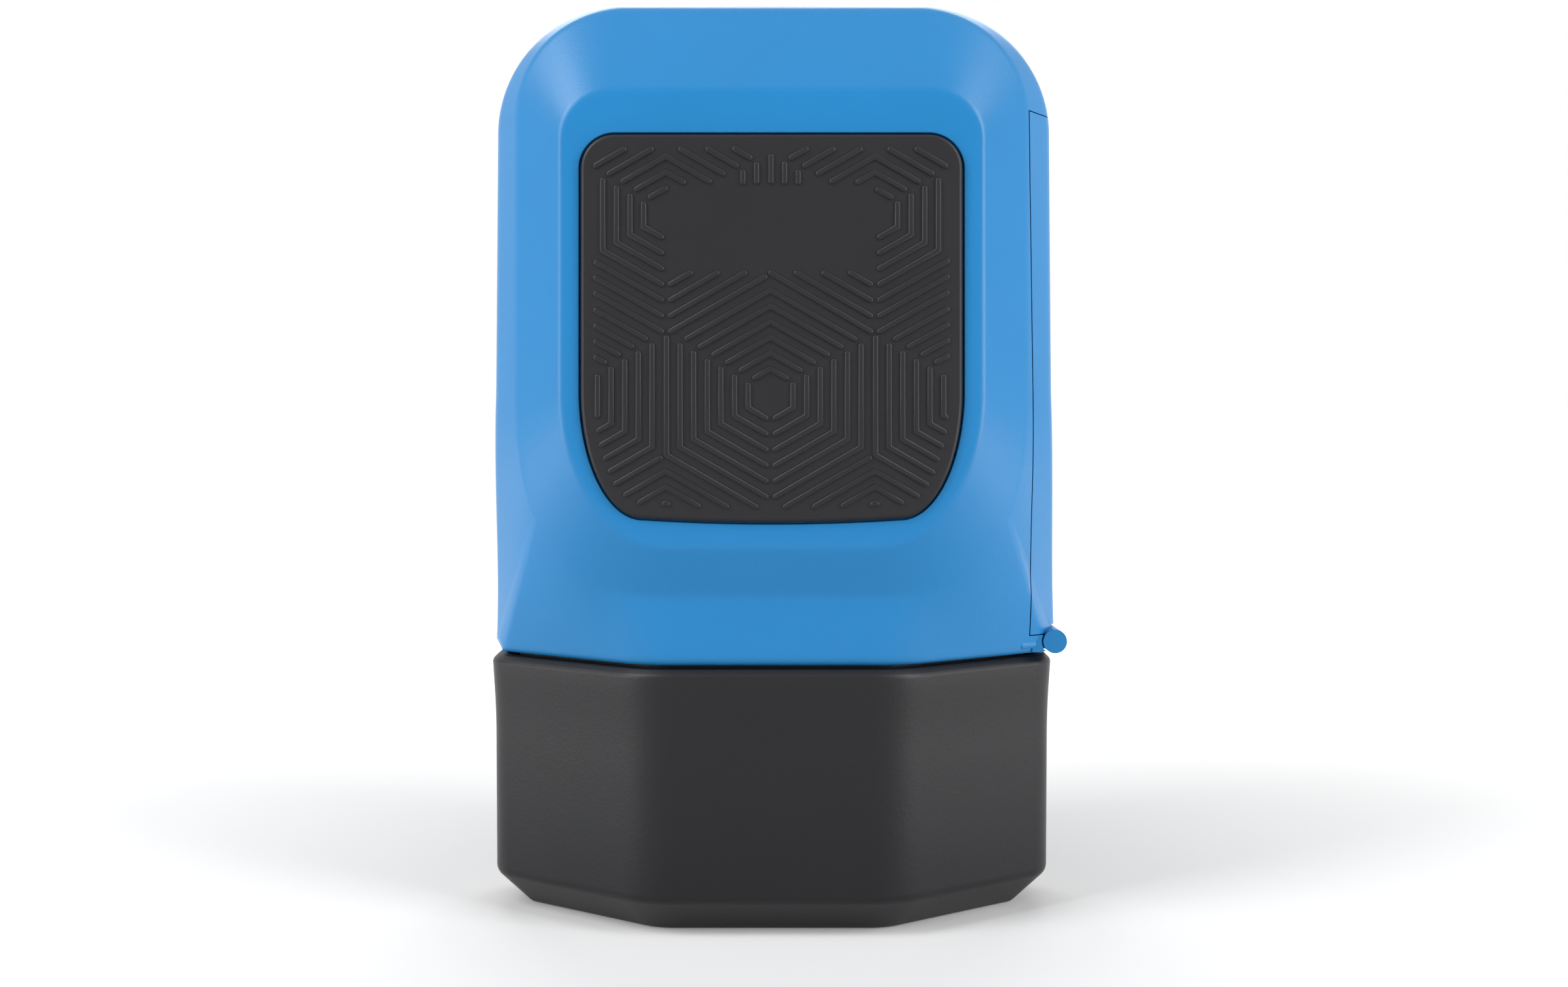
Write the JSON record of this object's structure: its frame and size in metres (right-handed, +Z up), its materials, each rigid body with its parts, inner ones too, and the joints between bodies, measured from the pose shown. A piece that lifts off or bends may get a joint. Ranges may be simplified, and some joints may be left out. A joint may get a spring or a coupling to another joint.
{
  "type": "privacy roller stamp",
  "caption": "Hand roller stamp: flat blue housing with black grip pads and a hinged side door, over an inked print roller, standing in a lift-off black cap.",
  "frame": {"origin": "centre of the cap's flat underside, on the surface that the stamp stands on", "axes": "+X across the width towards the hinged side door, +Y back through the depth (front grip pad at -Y), +Z up"},
  "size_m": [0.0592, 0.038, 0.091],
  "materials": {
    "housing_blue": "satin, fine moulded grain",
    "cap_black": "satin, fine moulded grain",
    "pad_black": "satin",
    "frame_black": "satin",
    "steel": "bright",
    "core_white": "matt",
    "print_rubber": "matt",
    "nylon": "satin",
    "ink_foam": "ink-soaked foam or felt, matt",
    "cartridge_grey": "satin"
  },
  "bodies": {
    "cap": {"cap_shell": "cap_black"},
    "stamp_body": {"housing_shell": "housing_blue", "front_grip_pad": "pad_black", "rear_grip_pad": "pad_black", "door_hinge_pin": "steel", "roller_frame": "frame_black", "left_axle_bush": "nylon", "right_axle_bush": "nylon", "cartridge_case": "cartridge_grey", "cartridge_lid": "cartridge_grey", "ink_reservoir_felt": "ink_foam", "cartridge_pull_tab": "cartridge_grey", "cartridge_guide": "frame_black", "cartridge_spring": "steel"},
    "side_door": {"side_door": "housing_blue"},
    "print_roller": {"print_roller_axle": "steel", "print_roller_core": "core_white", "print_sleeve": "print_rubber", "left_traction_ring": "print_rubber", "right_traction_ring": "print_rubber", "left_thrust_washer": "nylon", "right_thrust_washer": "nylon", "left_axle_clip": "steel", "right_axle_clip": "steel"},
    "ink_roller": {"ink_roller_axle": "steel", "ink_roller_core": "core_white", "ink_foam_sleeve": "ink_foam"}
  },
  "joints": [
    {"name": "body_lift", "type": "slide", "parent": "cap", "child": "stamp_body", "axis": [0, 0, 1], "range_m": [0, 0.04]},
    {"name": "side_door_swing", "type": "hinge", "parent": "stamp_body", "child": "side_door", "pos_m": [0.0289, 0, 0.02765], "axis": [0, 1, 0], "range_deg": [0, 115]},
    {"name": "print_roller_spin", "type": "hinge", "parent": "stamp_body", "child": "print_roller", "pos_m": [0, 0, 0.0143], "axis": [1, 0, 0], "continuous": true},
    {"name": "ink_roller_spin", "type": "hinge", "parent": "stamp_body", "child": "ink_roller", "pos_m": [0, 0, 0.03065], "axis": [1, 0, 0], "continuous": true}
  ],
  "couplings": [
    {"joint": "ink_roller_spin", "follows": "print_roller_spin", "ratio": -1.5}
  ]
}
